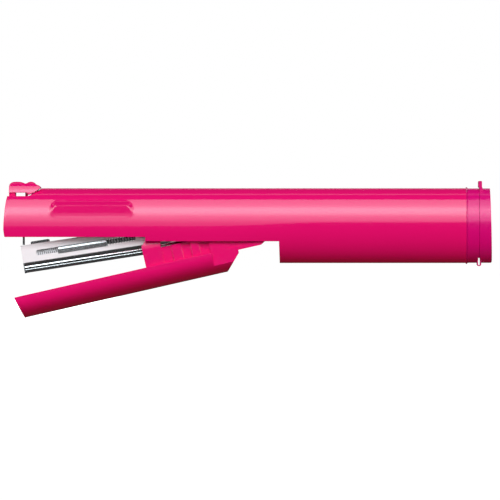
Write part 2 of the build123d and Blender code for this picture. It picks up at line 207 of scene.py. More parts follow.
def extruded(corners: Sequence[Sequence[float]], step: Sequence[float]) -> bmesh.types.BMesh:
    """Solid swept from a flat outline.

    Args:
        corners: corners of the outline, in order.
        step: how far and which way the outline is pushed.

    Returns:
        The solid.
    """
    bm = bmesh.new()
    face = bm.faces.new([bm.verts.new(corner) for corner in corners])
    grown = bmesh.ops.extrude_face_region(bm, geom=[face])
    moved = [v for v in grown["geom"] if isinstance(v, bmesh.types.BMVert)]
    bmesh.ops.translate(bm, verts=moved, vec=step)
    bmesh.ops.recalc_face_normals(bm, faces=bm.faces)
    return bm


def span(side: int, near: float, far: float) -> list[float]:
    """Lower and upper y between two distances from the middle, on one side.

    Args:
        side: -1 or 1.
        near: one distance from the middle.
        far: the other distance.

    Returns:
        The two y values, in rising order.
    """
    return sorted((side * near, side * far))


def flipped(side: int, points: Sequence[Point2]) -> list[Point2]:
    """YZ outline carried to one side.

    Args:
        side: -1 or 1.
        points: the outline on the positive side.

    Returns:
        The outline on the wanted side.
    """
    return [(side * y, z) for y, z in points]


def prism(points: Sequence[Point2], y0: float, y1: float) -> bpy.types.Object:
    """Prism of an XZ outline between two y values.

    Args:
        points: corners of the outline, in order.
        y0: near end.
        y1: far end.

    Returns:
        The prism.
    """
    bm = extruded([(x, y0, z) for x, z in points], (0.0, y1 - y0, 0.0))
    return object_from(bm, "cutter")


def bar(points: Sequence[Point2], x0: float, x1: float) -> bpy.types.Object:
    """Bar with a YZ outline between two x values.

    Args:
        points: corners of the outline, in order.
        x0: front end.
        x1: rear end.

    Returns:
        The bar.
    """
    bm = extruded([(x0, y, z) for y, z in points], (x1 - x0, 0.0, 0.0))
    return object_from(bm, "bar")


def cylinder(
    centre: Sequence[float], axis: str, radius: float, length: float, sides: int = 48
) -> bpy.types.Object:
    """Cylinder centred on a point, along X, Y or Z.

    Args:
        centre: middle of the cylinder.
        axis: X, Y or Z.
        radius: its radius.
        length: its length.
        sides: flats round it.

    Returns:
        The cylinder.
    """
    turns = {"X": Matrix.Rotation(math.pi / 2, 4, "Y"), "Y": Matrix.Rotation(math.pi / 2, 4, "X")}
    bm = bmesh.new()
    bmesh.ops.create_cone(
        bm, cap_ends=True, segments=sides, radius1=radius, radius2=radius, depth=length,
        matrix=Matrix.Translation(centre) @ turns.get(axis, Matrix()),
    )
    return object_from(bm, "cutter")


def skin(
    place: Callable[[float, float], Sequence[float]], along: Sequence[float], around: int, name: str
) -> bpy.types.Object:
    """Closed tube through rings, with flat ends.

    Args:
        place: gives the point at a station and a share of the way round.
        along: the stations.
        around: segments round each ring.
        name: the object's name.

    Returns:
        The closed tube.
    """
    bm = bmesh.new()
    bmesh.ops.create_grid(bm, x_segments=len(along) - 1, y_segments=around, size=0.5)
    for vert in bm.verts:
        station = round((vert.co.x + 0.5) * (len(along) - 1))
        share = round((vert.co.y + 0.5) * around) % around / around
        vert.co = Vector(place(along[station], share))
    bmesh.ops.remove_doubles(bm, verts=bm.verts, dist=1e-5)
    bmesh.ops.holes_fill(bm, edges=[e for e in bm.edges if e.is_boundary], sides=0)
    bmesh.ops.recalc_face_normals(bm, faces=bm.faces)
    return object_from(bm, name)


def settle(obj: bpy.types.Object) -> None:
    """Apply an object's modifiers to its mesh.

    Args:
        obj: the object.
    """
    depsgraph = bpy.context.evaluated_depsgraph_get()
    mesh = bpy.data.meshes.new_from_object(obj.evaluated_get(depsgraph))
    old = obj.data
    obj.modifiers.clear()
    obj.data = mesh
    bpy.data.meshes.remove(old)


def combine(obj: bpy.types.Object, operation: str, *others: bpy.types.Object) -> bpy.types.Object:
    """Cut, join or intersect an object with others, which are used up.

    Args:
        obj: the object that stays.
        operation: DIFFERENCE, UNION or INTERSECT.
        others: the objects that are used up.

    Returns:
        The object.
    """
    for other in others:
        modifier = obj.modifiers.new("carve", "BOOLEAN")
        modifier.operation = operation
        modifier.solver = "EXACT"
        modifier.object = other
        settle(obj)
        bpy.data.objects.remove(other)
    return obj


def soften(obj: bpy.types.Object, width: float, segments: int = 2) -> bpy.types.Object:
    """Round the sharp edges of a finished drawing-frame shape.

    Args:
        obj: the shape.
        width: size of the rounding in millimetres.
        segments: faces across each rounding.

    Returns:
        The object.
    """
    bevel = obj.modifiers.new("edge", "BEVEL")
    bevel.width = width
    bevel.segments = segments
    bevel.limit_method = "ANGLE"
    bevel.angle_limit = SHARP_ANGLE
    bevel.use_clamp_overlap = True
    settle(obj)
    return obj


def deliver(
    obj: bpy.types.Object, name: str, swing: Swing, body: Body, finish: "Finish", *stands_for: str
) -> bpy.types.Object:
    """Bring a drawing-frame shape into the row frame, shade it, dress it and let it ride.

    Args:
        obj: the shape, in drawing millimetres.
        name: the piece's name.
        swing: the group it was drawn in.
        body: the body it moves with.
        finish: its material.
        stands_for: CAD nodes it replaces.

    Returns:
        The finished piece.
    """
    obj.name = name
    obj.data.name = name
    obj.data.transform(DATUM.matrix(swing))
    obj.data.polygons.foreach_set("use_smooth", [True] * len(obj.data.polygons))
    obj.data.set_sharp_from_angle(angle=SHARP_ANGLE)
    weighted = obj.modifiers.new("shading", "WEIGHTED_NORMAL")
    weighted.keep_sharp = True
    weighted.weight = 80
    dress(obj, finish)
    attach(obj, body.value)
    if stands_for:
        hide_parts(*stands_for)
    log.info("%s: %d faces, rides on %s", name, len(obj.data.polygons), body.value)
    return obj


def refine(node: str, body: Body, finish: "Finish", width: float, segments: int = 2) -> bpy.types.Object:
    """Stand-in for a CAD node with its sharp edges rounded.

    Args:
        node: the CAD node that is copied and replaced.
        body: the body it moves with.
        finish: its material.
        width: size of the rounding in millimetres.
        segments: faces across each rounding.

    Returns:
        The finished piece.
    """
    obj = copy_of(node, Swing.NONE)
    soften(obj, width, segments)
    return deliver(obj, node + "_piece", Swing.NONE, body, finish, node)


def copy_of(node: str, swing: Swing) -> bpy.types.Object:
    """Copy of a CAD node in a group's drawing frame, with flat faces merged.

    Args:
        node: the CAD node.
        swing: the group whose drawing frame is wanted.

    Returns:
        The copy.
    """
    bm = bmesh.new()
    bm.from_mesh(frame["nodes"][node].data)
    bmesh.ops.transform(bm, matrix=DATUM.matrix(swing).inverted(), verts=bm.verts)
    bmesh.ops.remove_doubles(bm, verts=bm.verts, dist=2e-4)
    bmesh.ops.dissolve_limit(bm, angle_limit=math.radians(1.0), verts=bm.verts, edges=bm.edges)
    return object_from(bm, node + "_piece")


# ------------------------------------------------------------------ finishes
class Graph:
    """Short way to build a node material."""

    def __init__(self, name: str) -> None:
        """Start a material with a Principled shader.

        Args:
            name: the material's name.
        """
        self.material = bpy.data.materials.new(name)
        self.material.use_nodes = True
        self.tree = self.material.node_tree
        self.shader = self.tree.nodes["Principled BSDF"]
        self.coordinates = self.tree.nodes.new("ShaderNodeTexCoord").outputs["Object"]

    def node(self, kind: str, inputs: dict[str | int, object], **settings: object) -> bpy.types.Node:
        """Add a node.

        Args:
            kind: Blender's node type, without its ShaderNode prefix.
            inputs: values or sockets by input name or index.
            settings: node properties.

        Returns:
            The new node.
        """
        made = self.tree.nodes.new("ShaderNode" + kind)
        for key, value in settings.items():
            setattr(made, key, value)
        for key, value in inputs.items():
            self.feed(made.inputs[key], value)
        return made

    def feed(self, socket: bpy.types.NodeSocket, value: object) -> None:
        """Link a socket or set a plain value.

        Args:
            socket: the input.
            value: a socket, or a plain value.
        """
        if isinstance(value, bpy.types.NodeSocket):
            self.tree.links.new(value, socket)
        else:
            socket.default_value = value

    def noise(self, per_mm: float, detail: float, stretch: Point3 = (1, 1, 1)) -> bpy.types.NodeSocket:
        """Noise on Object coordinates.

        Args:
            per_mm: cells in a millimetre.
            detail: octaves.
            stretch: scale factors along X, Y and Z.

        Returns:
            The noise value's socket.
        """
        mapping = self.node("Mapping", {"Vector": self.coordinates, "Scale": stretch})
        inputs = {"Vector": mapping.outputs[0], "Scale": per_mm / MM, "Detail": detail, "Roughness": 0.55}
        return self.node("TexNoise", inputs).outputs["Fac"]

    def remap(
        self, value: bpy.types.NodeSocket, low: float, high: float, start: float = 0.3, end: float = 0.7
    ) -> bpy.types.NodeSocket:
        """Map start..end of a value to low..high, clamped.

        Args:
            value: the value.
            low: result at the start.
            high: result at the end.
            start: lower value.
            end: upper value.

        Returns:
            The result's socket.
        """
        made = self.node(
            "MapRange", {"Value": value, "From Min": start, "From Max": end, "To Min": low, "To Max": high}
        )
        return made.outputs[0]

    def blend(self, share: bpy.types.NodeSocket, one: tuple, other: tuple) -> bpy.types.NodeSocket:
        """Mix two colours by a share.

        Args:
            share: 0 for the first colour, 1 for the second.
            one: linear colour.
            other: linear colour.

        Returns:
            The colour's socket.
        """
        made = self.node("Mix", {}, data_type="RGBA")
        self.feed(made.inputs["Factor"], share)
        made.inputs[6].default_value = (*one, 1.0)
        made.inputs[7].default_value = (*other, 1.0)
        return made.outputs[2]

    def bump(
        self, height: bpy.types.NodeSocket, strength: float, depth_mm: float, below: object = None
    ) -> bpy.types.NodeSocket:
        """Bump from a height, optionally on top of another bump.

        Args:
            height: the height.
            strength: 0 to 1.
            depth_mm: depth in millimetres.
            below: normal that the bump lies on.

        Returns:
            The normal's socket.
        """
        inputs = {"Height": height, "Strength": strength, "Distance": depth_mm * MM}
        if below is not None:
            inputs["Normal"] = below
        return self.node("Bump", inputs).outputs[0]


class Finish:
    """A material that is built once and shared."""

    slot: str
    name: str

    def __init__(self) -> None:
        """Keep the built material until it is asked for again."""
        self.built: bpy.types.Material | None = None

    def material(self) -> bpy.types.Material:
        """The material, built on first use.

        Returns:
            The material.
        """
        if self.built is None:
            self.built = self.build(Graph(self.name))
        return self.built

    def build(self, graph: Graph) -> bpy.types.Material:
        """Build the node tree.

        Args:
            graph: the node tree to fill.

        Returns:
            The material.
        """
        raise NotImplementedError


class MouldedPlastic(Finish):
    """Through-coloured moulded plastic with faint flow, haze and handling scratches."""

    def __init__(
        self, slot: str, colour: Point3, shade: Point3, rough: Point2, specular: float, texture: float
    ) -> None:
        """Keep the finish's values.

        Args:
            slot: the record's material slot.
            colour: linear base colour.
            shade: the colour where the flow is darker.
            rough: lowest and highest roughness.
            specular: specular level.
            texture: strength of the fine surface texture.
        """
        super().__init__()
        self.slot = slot
        self.name = slot
        self.colour = colour
        self.shade = shade
        self.rough = rough
        self.specular = specular
        self.texture = texture

    def build(self, graph: Graph) -> bpy.types.Material:
        """Colour drift, haze, orange peel and fine scratches.

        Args:
            graph: the node tree to fill.

        Returns:
            The material.
        """
        drift = graph.remap(graph.noise(0.03, 3.0, (0.35, 1.0, 1.0)), 0.0, 1.0)
        graph.feed(graph.shader.inputs["Base Color"], graph.blend(drift, self.colour, self.shade))
        haze = graph.remap(graph.noise(0.25, 4.0), self.rough[0], self.rough[1])
        scratch = graph.noise(0.5, 2.0, (1.0, 14.0, 14.0))
        lines = graph.remap(scratch, 0.0, 0.05, 0.64, 0.74)
        total = graph.node("Math", {0: haze, 1: lines}, operation="ADD")
        graph.feed(graph.shader.inputs["Roughness"], total.outputs[0])
        graph.shader.inputs["Specular IOR Level"].default_value = self.specular
        graph.shader.inputs["IOR"].default_value = 1.5
        peel = graph.bump(graph.noise(0.35, 1.0), self.texture, 0.012)
        grain = graph.bump(graph.noise(6.0, 2.0), self.texture, 0.0015, peel)
        graph.feed(graph.shader.inputs["Normal"], grain)
        return graph.material


class RolledSteel(Finish):
    """Plated or bright steel sheet with a rolled grain along X."""

    def __init__(
        self, slot: str, colour: Point3, rough: Point2, metallic: float, grain_per_mm: float
    ) -> None:
        """Keep the finish's values.

        Args:
            slot: the record's material slot.
            colour: linear base colour.
            rough: lowest and highest roughness.
            metallic: share of bare metal against the milky plating.
            grain_per_mm: rolled lines in a millimetre.
        """
        super().__init__()
        self.slot = slot
        self.name = slot
        self.colour = colour
        self.rough = rough
        self.metallic = metallic
        self.grain_per_mm = grain_per_mm

    def build(self, graph: Graph) -> bpy.types.Material:
        """Rolled grain, cloudy plating and small smudges.

        Args:
            graph: the node tree to fill.

        Returns:
            The material.
        """
        grain = graph.noise(self.grain_per_mm, 3.0, (0.04, 1.0, 1.0))
        clouds = graph.noise(0.18, 4.0)
        dark = tuple(0.93 * channel for channel in self.colour)
        tone = graph.remap(clouds, 0.0, 1.0)
        graph.feed(graph.shader.inputs["Base Color"], graph.blend(tone, self.colour, dark))
        smudge = graph.remap(clouds, self.rough[0], self.rough[1])
        streak = graph.remap(grain, -0.04, 0.06)
        total = graph.node("Math", {0: smudge, 1: streak}, operation="ADD")
        graph.feed(graph.shader.inputs["Roughness"], total.outputs[0])
        self.metal(graph)
        graph.feed(graph.shader.inputs["Normal"], graph.bump(grain, 0.08, 0.003))
        return graph.material

    def metal(self, graph: Graph) -> None:
        """Set how much bare metal shows.

        Args:
            graph: the node tree.
        """
        graph.shader.inputs["Metallic"].default_value = self.metallic


class BentSheet(RolledSteel):
    """Milky plated sheet that turns to bare metal below the bend line, a painted shade and reflection for the
    lower bends.
    """

    # height of the bend line below which the sheet is bare metal: painted shade and reflection, not wear
    shade_band_below: float = 10.35
    fade: float = 0.25

    def metal(self, graph: Graph) -> None:
        """Bare metal below the bend line, milky plating above it, so the lower bends show painted shade and
        reflection.

        Args:
            graph: the node tree.
        """
        matrix = DATUM.matrix(Swing.MAGAZINE).inverted()
        rises = (matrix[2][0], 0.0, matrix[2][2])
        height = graph.node("VectorMath", {0: graph.coordinates, 1: rises}, operation="DOT_PRODUCT")
        line = self.shade_band_below - matrix.translation.z
        # bare metal under the line darkens the lower bends: painted shade and reflection
        share = graph.remap(height.outputs["Value"], 1.0, self.metallic, line - self.fade, line)
        graph.feed(graph.shader.inputs["Metallic"], share)


class NaturalNylon(Finish):
    """Milky nylon washers with a drawn surface."""

    slot = "natural_nylon"
    name = "natural_nylon"

    def build(self, graph: Graph) -> bpy.types.Material:
        """Milky tone, turning marks.

        Args:
            graph: the node tree to fill.

        Returns:
            The material.
        """
        tone = graph.remap(graph.noise(0.6, 2.0), 0.0, 1.0)
        colour = graph.blend(tone, (0.72, 0.68, 0.56), (0.64, 0.6, 0.48))
        graph.feed(graph.shader.inputs["Base Color"], colour)
        graph.feed(graph.shader.inputs["Roughness"], graph.remap(graph.noise(3.0, 2.0), 0.4, 0.55))
        graph.shader.inputs["Subsurface Weight"].default_value = 0.0
        graph.feed(graph.shader.inputs["Normal"], graph.bump(graph.noise(4.0, 2.0), 0.3, 0.01))
        return graph.material


GLOSS = MouldedPlastic("gloss_magenta", (0.79, 0.004, 0.150), (0.76, 0.0035, 0.143), (0.06, 0.10), 0.5, 0.08)
SATIN = MouldedPlastic("satin_magenta", (0.68, 0.002, 0.172), (0.65, 0.002, 0.164), (0.16, 0.21), 0.36, 0.2)
SHEET = BentSheet("satin_steel", (0.97, 0.96, 0.965), (0.16, 0.22), 0.06, 6.0)
BRIGHT = RolledSteel("bright_steel", (0.72, 0.72, 0.73), (0.14, 0.20), 0.9, 8.0)
SPRING = RolledSteel("spring_steel", (0.82, 0.83, 0.84), (0.20, 0.28), 0.3, 10.0)
STAPLE = RolledSteel("staple_wire", (0.86, 0.87, 0.89), (0.22, 0.30), 0.25, 10.0)
ZINC = RolledSteel("zinc_fastener", (0.60, 0.61, 0.63), (0.24, 0.34), 1.0, 5.0)
NYLON = NaturalNylon()


def dress(obj: bpy.types.Object, finish: Finish) -> None:
    """Give an object its one material.

    Args:
        obj: the object.
        finish: its material.
    """
    obj.data.materials.clear()
    obj.data.materials.append(finish.material())


# ------------------------------------------------------------------ barrel
LATCH_PIN = (8.7, 0, 18.7)


@dataclass
class GripPad:
    """Raised pad with round ends on each side of the barrel near the tip."""

    middle_z: float = 14.95
    radius: float = 2.4
    start_x: float = 15.2
    end_x: float = 34.2
    foot_y: float = 8.14
    foot_z: float = 12.4
    face_lean: float = 0.035
    foot_lean: float = 0.17
    foot_height: float = 1.7
    upper_slope: float = 0.80
    end_slope: float = 0.5
    blend: float = 0.09

    def lift(self, x: float, y: float, z: float) -> float:
        """Half width of barrel and pad together.

        Args:
            x: station from the tip.
            y: half width of the bare barrel, with its side's sign.
            z: height.

        Returns:
            The new half width, with the same sign.
        """
        along = max(0.0, self.start_x - x, x - self.end_x)
        across = z - self.middle_z
        away = math.hypot(along, across)
        inside = self.radius - away
        above = max(0.0, z - self.foot_z)
        foot = min(above, self.foot_height)
        lean = self.face_lean * above + self.foot_lean * (foot - foot * foot / (2 * self.foot_height))
        proud = self.foot_y - lean - abs(y)
        if inside < -0.4 or z < self.foot_z - 0.2 or proud < -0.3:
            return y
        slope = self.upper_slope
        if away >= 1e-6:
            slope = math.hypot(self.upper_slope * across, self.end_slope * along) / away
        rise = 0.5 * (inside + math.hypot(inside, self.blend)) * slope
        cap = max(proud, 0.0)
        gap = rise - cap
        crest = 0.5 * self.blend * math.exp(-((gap / 0.3) ** 2))
        raised = 0.5 * (rise + cap - math.hypot(gap, self.blend)) + crest
        return math.copysign(abs(y) + max(0.0, raised), y)


@dataclass
class Barrel:
    """One-piece barrel shell with its notch, grip pads and rear tube."""

    width: float = 17.0
    height: float = 21.0
    centre_z: float = 9.0
    crease_z: float = 10.2
    crease_rise: float = 1.15
    wall: float = 1.4
    blend_start: float = 55.0
    blend_end: float = 92.0
    tube_end: float = 129.7
    rear_x: float = 130.0
    mouth_z: float = 7.3
    mouth_end: float = 39.7
    flank_z: float = 6.1
    tube_start: float = 77.2
    tube_foot: float = 77.6
    screws_x: Point2 = (15.0, 21.0)
    boss_radius: float = 1.9
    bore_radius: float = 0.8
    segments: int = 256
    pad: GripPad = field(default_factory=GripPad)

    def rear_share(self, x: float, start: float, end: float) -> float:
        """Smooth step from the front section to the rear oval.

        Args:
            x: station from the tip.
            start: where the step starts.
            end: where it ends.

        Returns:
            0 to 1.
        """
        t = min(1.0, max(0.0, (x - start) / (end - start)))
        return t * t * (3 - 2 * t)

    def ring(self, x: float, share: float, inset: float) -> Point3:
        """Point of the barrel's section.

        Args:
            x: station from the tip.
            share: share of the way round, 0 and 0.5 at the creases.
            inset: distance inside the outer surface.

        Returns:
            The point in drawing millimetres.
        """
        crease = self.crease_z + self.crease_rise * self.rear_share(x, self.blend_start, self.blend_end)
        belly = self.rear_share(x, self.blend_start, 77.0)
        rise = self.height - self.centre_z - inset
        half = self.width / 2 - inset
        lean = math.asin((crease - self.centre_z) / rise)
        if share <= 0.5:
            angle = lean + (math.pi - 2 * lean) * share * 2
            return x, half * math.cos(angle), self.centre_z + rise * math.sin(angle)
        angle = math.pi * share * 2
        depth = 12.5 + (crease - 12.5) * belly - inset
        return x, half * math.cos(lean) * math.cos(angle), crease + depth * math.sin(angle)

    def outer(self, x: float, share: float) -> Point3:
        """Outer surface with the grip pads.

        Args:
            x: station from the tip.
            share: share of the way round.

        Returns:
            The point in drawing millimetres.
        """
        x, y, z = self.ring(x, share, 0.0)
        return x, self.pad.lift(x, y, z), z

    def stations(self) -> list[float]:
        """Ring places: close over the pads, wider on the plain tube.

        Returns:
            The stations, from the tip to the rear.
        """
        front = [1.5 * i for i in range(8)] + [12.0 + 0.2 * i for i in range(130)] + [38.0, 39.0]
        middle = [40.0 + 1.5 * i for i in range(int(54 / 1.5))]
        rear = [94.0 + 5.1 * i for i in range(7)]
        return [-1.0] + front[1:] + middle + rear + [self.tube_end]

    def build(self) -> bpy.types.Object:
        """Outer skin, then every cut in turn.

        Returns:
            The finished shell.
        """
        shell = skin(self.outer, self.stations(), self.segments, "barrel_shell")
        below = [
            (-2, -6), (-2, self.mouth_z), (self.mouth_end, self.mouth_z), (self.mouth_end, self.flank_z),
            (self.tube_start, self.flank_z), (self.tube_foot, -6),
        ]
        combine(shell, "DIFFERENCE", prism(below, -12, 12))
        nose = [
            (0.5, 6.5), (0.2, 7.8), (0.0, 9.3), (0.03, 11.0), (0.15, 12.8), (0.34, 15.0), (0.62, 17.0),
            (1.05, 18.9), (1.7, 21.0),
        ]
        combine(shell, "DIFFERENCE", prism([*nose, (2.2, 23), (-3, 23), (-3, 5), (0.6, 5)], -12, 12))
        cavity = skin(self.bay, [1.3, 77.0], 96, "bay")
        combine(cavity, "DIFFERENCE", box(0, 11.5, -12, 12, 17.3, 24))
        combine(shell, "DIFFERENCE", cavity)
        combine(shell, "DIFFERENCE", skin(self.store, [79.0, 131.0], 96, "store"))
        notch = [(-1, 18.75), (6.6, 18.75), (7.4, 18.95), (9.8, 20.4), (10.6, 21.05), (10.6, 24), (-1, 24)]
        combine(
            shell, "DIFFERENCE", prism(notch, -12, 12), box(-1, 3.8, -2.1, 2.1, 16.0, 20),
            box(1.35, 3.6, -4.3, 4.3, 16.5, 20),
            box(5.6, 10.2, -2.2, 2.2, 16.0, 22), cylinder(LATCH_PIN, "Y", 0.7, 8.4),
            cylinder((DATUM.pivot_x, 0, DATUM.pivot_z), "Y", 1.5, 15.4),
        )
        for x in self.screws_x:
            combine(shell, "UNION", cylinder((x, 0, 17.85), "Z", self.boss_radius, 4.5))
            combine(shell, "DIFFERENCE", cylinder((x, 0, 16.8), "Z", self.bore_radius, 3.6))
        soften(shell, 0.13, 2)
        return deliver(shell, "barrel_shell", Swing.NONE, Body.BARREL, GLOSS, "body_shell")

    def store(self, x: float, share: float) -> Point3:
        """Oval bore of the rear tube, for spare staples.

        Args:
            x: station from the tip.
            share: share of the way round.

        Returns:
            The point in drawing millimetres.
        """
        return x, *self.ring(self.rear_x, share, self.wall)[1:]

    def bay(self, x: float, share: float) -> Point3:
        """Front cavity: arch above, straight sides below.

        Args:
            x: station from the tip.
            share: share of the way round.

        Returns:
            The point in drawing millimetres.
        """
        _, y, z = self.ring(0.0, share, self.wall)
        if share <= 0.5:
            return x, y, z
        half = abs(self.ring(0.0, 0.0, self.wall)[1])
        stretch = min(1.0, 3.0 * math.sin(math.pi * (share * 2 - 1)))
        side = half * max(-1.0, min(1.0, 1.35 * math.cos(math.pi * share * 2)))
        return x, side, self.crease_z - 18.0 * stretch


@dataclass
class ThumbLatch:
    """Thumb pad at the tip, its leg, lug and hook."""

    half: float = 4.5

    def build(self) -> bpy.types.Object:
        """Saddle-shaped pad with two lobes, on the latch's working parts.

        Returns:
            The finished latch.
        """
        top = [
            (1.45, 20.4), (1.48, 21.4), (1.65, 22.05), (2.05, 22.5), (2.7, 22.74), (3.6, 22.8), (4.6, 22.76),
            (5.3, 22.6), (5.75, 22.38), (6.1, 22.28), (6.45, 22.4), (6.9, 22.66), (7.5, 22.8), (8.1, 22.74),
            (8.6, 22.5), (8.9, 22.15), (9.3, 21.95), (9.8, 21.75), (10.4, 21.3),
        ]
        under = [
            (10.3, 20.98), (9.6, 20.55), (8.8, 19.95), (8.2, 19.65), (7.6, 19.38), (7.1, 19.2), (6.75, 19.15),
            (6.72, 19.75), (1.45, 19.75),
        ]
        pad = prism([*top, *under], -self.half, self.half)
        cheek = cylinder((6, 0, 18.4), "X", 5.0, 16, 64)
        cheek.data.transform(Matrix.Diagonal((1, 0.92, 1, 1)))
        combine(pad, "INTERSECT", cheek)
        combine(pad, "DIFFERENCE", self.dish((6.1, 0, 23.2), (1.5, 3.6, 1.0)))
        for side in SIDES:
            combine(pad, "DIFFERENCE", self.dish((5.0, side * 4.55, 21.9), (0.75, 0.4, 0.55)))
        leg = box(1.5, 3.3, -4.1, 4.1, 18.0, 20.3), box(1.5, 3.4, -1.9, 1.9, 16.4, 20.5)
        toe = box(3.3, 4.1, -1.7, 1.7, 16.4, 17.1)
        lug = box(7.7, 9.7, -1.9, 1.9, 18.7, 20.4), cylinder(LATCH_PIN, "Y", 1.0, 3.8)
        hook = box(6.0, 6.7, -1.5, 1.5, 12.65, 20.4), box(6.6, 7.1, -1.5, 1.5, 12.65, 13.0)
        combine(pad, "UNION", *leg, toe, *lug, *hook)
        combine(pad, "DIFFERENCE", cylinder(LATCH_PIN, "Y", 0.75, 6))
        soften(pad, 0.28, 3)
        return deliver(pad, "thumb_latch", Swing.NONE, Body.LATCH, GLOSS, "tip_latch")

    def dish(self, centre: Sequence[float], radii: Sequence[float]) -> bpy.types.Object:
        """Rounded hollow to cut from the pad.

        Args:
            centre: middle of the hollow.
            radii: half sizes along X, Y and Z.

        Returns:
            The cutter.
        """
        bm = bmesh.new()
        bmesh.ops.create_uvsphere(
            bm, u_segments=40, v_segments=24, radius=1.0,
            matrix=Matrix.Translation(centre) @ Matrix.Diagonal((*radii, 1)),
        )
        return object_from(bm, "dish")


@dataclass
class RearEnd:
    """Collar, hinge strap and cap at the rear of the tube."""

    barrel: Barrel
    segments: int = 144

    def oval(self, stations: Sequence[Point2], name: str) -> bpy.types.Object:
        """Solid through oval rings.

        Args:
            stations: x and inset of each ring.
            name: the object's name.

        Returns:
            The closed shape.
        """

        def place(index: float, share: float) -> Point3:
            """Point of a ring.

            Args:
                index: the ring's number.
                share: share of the way round.

            Returns:
                The point in drawing millimetres.
            """
            x, inset = stations[int(index)]
            return x, *self.barrel.ring(self.barrel.rear_x, share, inset)[1:]

        return skin(place, range(len(stations)), self.segments, name)

    def collar(self) -> bpy.types.Object:
        """Ring with a flange bead and a spigot.

        Returns:
            The finished collar.
        """
        outline = [
            (127.0, 1.45), (129.7, 1.45), (129.71, 0.0), (129.62, -0.04), (129.6, -0.16), (129.68, -0.26),
            (129.8, -0.3), (129.93, -0.25), (130.02, -0.12), (130.1, 0.02), (130.4, 0.05), (133.15, 0.05),
            (133.27, 0.08), (133.31, 0.16),
        ]
        ring = self.oval(outline, "collar")
        combine(ring, "DIFFERENCE", self.oval([(126, 2.35), (130.3, 2.35)], "bore"))
        combine(ring, "DIFFERENCE", self.oval([(130.3, 1.4), (134, 1.4)], "bore"))
        combine(ring, "DIFFERENCE", box(133.0, 134, -4.5, 4.5, -3, 1.4))
        soften(ring, 0.06, 2)
        return deliver(ring, "collar_ring", Swing.NONE, Body.BARREL, SATIN, "rear_collar")

    def cap(self) -> bpy.types.Object:
        """Cap with rounded rim, plug ring and finger tab.

        Returns:
            The finished cap.
        """
        turns = [i * math.pi / 2 / 7 for i in range(8)]
        rim = [(136.45 + 0.5 * math.sin(a), 0.55 - 0.5 * math.cos(a)) for a in turns]
        outline = [(133.34, 0.16), (133.38, 0.08), (133.5, 0.05), (135.0, 0.05), *rim]
        cap = self.oval(outline, "cap")
        combine(cap, "UNION", self.oval([(131.2, 1.75), (131.4, 1.7), (133.5, 1.7)], "plug"))
        combine(cap, "DIFFERENCE", self.oval([(131, 2.6), (135.7, 2.6)], "hollow"))
        combine(cap, "DIFFERENCE", box(133.3, 133.6, -4.5, 4.5, -3, 1.4))
        combine(cap, "DIFFERENCE", prism([(136.34, 22), (136.88, 0.2), (138.0, 0.2), (138.0, 22)], -12, 12))
        tab = [
            (133.4, 19.4), (133.4, 21.15), (133.1, 21.25), (133.12, 22.8), (133.2, 22.95), (133.35, 23.0),
            (133.9, 23.0), (134.05, 22.93), (134.1, 22.8), (134.12, 21.4), (134.25, 21.0), (134.5, 20.6),
            (134.5, 19.4),
        ]
        combine(cap, "UNION", prism(tab, -3.2, 3.2))
        soften(cap, 0.08, 2)
        return deliver(cap, "cap_shell", Swing.NONE, Body.CAP, SATIN, "end_cap")

    def strap(self) -> bpy.types.Object:
        """Thin living-hinge loop between collar and cap.

        Returns:
            The finished strap.
        """
        axis_x, axis_z, outer, inner, top = 133.3, -0.3, 0.58, 0.31, 0.9
        arc = [math.pi * (1 + i / 16) for i in range(17)]
        outside = [(axis_x + outer * math.cos(a), axis_z + outer * math.sin(a)) for a in arc]
        inside = [(axis_x + inner * math.cos(a), axis_z + inner * math.sin(a)) for a in reversed(arc)]
        profile = [
            *outside, (axis_x + outer, top), (axis_x + inner, top), *inside, (axis_x - inner, top),
            (axis_x - outer, top),
        ]
        loop = prism(profile, -3, 3)
        combine(loop, "DIFFERENCE", self.oval([(132.0, 0.1), (135.0, 0.1)], "ends"))
        soften(loop, 0.03, 1)
        loop.name = "hinge_loop"
        loop.data.transform(DATUM.matrix(Swing.NONE))
        dress(loop, SATIN)
        loop.data.polygons.foreach_set("use_smooth", [True] * len(loop.data.polygons))
        loop.data.set_sharp_from_angle(angle=SHARP_ANGLE)
        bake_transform(loop)
        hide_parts("hinge_strap")
        log.info("hinge_loop bends between barrel and cap")
        return loop

    def build(self) -> None:
        """Make the three pieces."""
        self.collar()
        self.cap()
        self.strap()


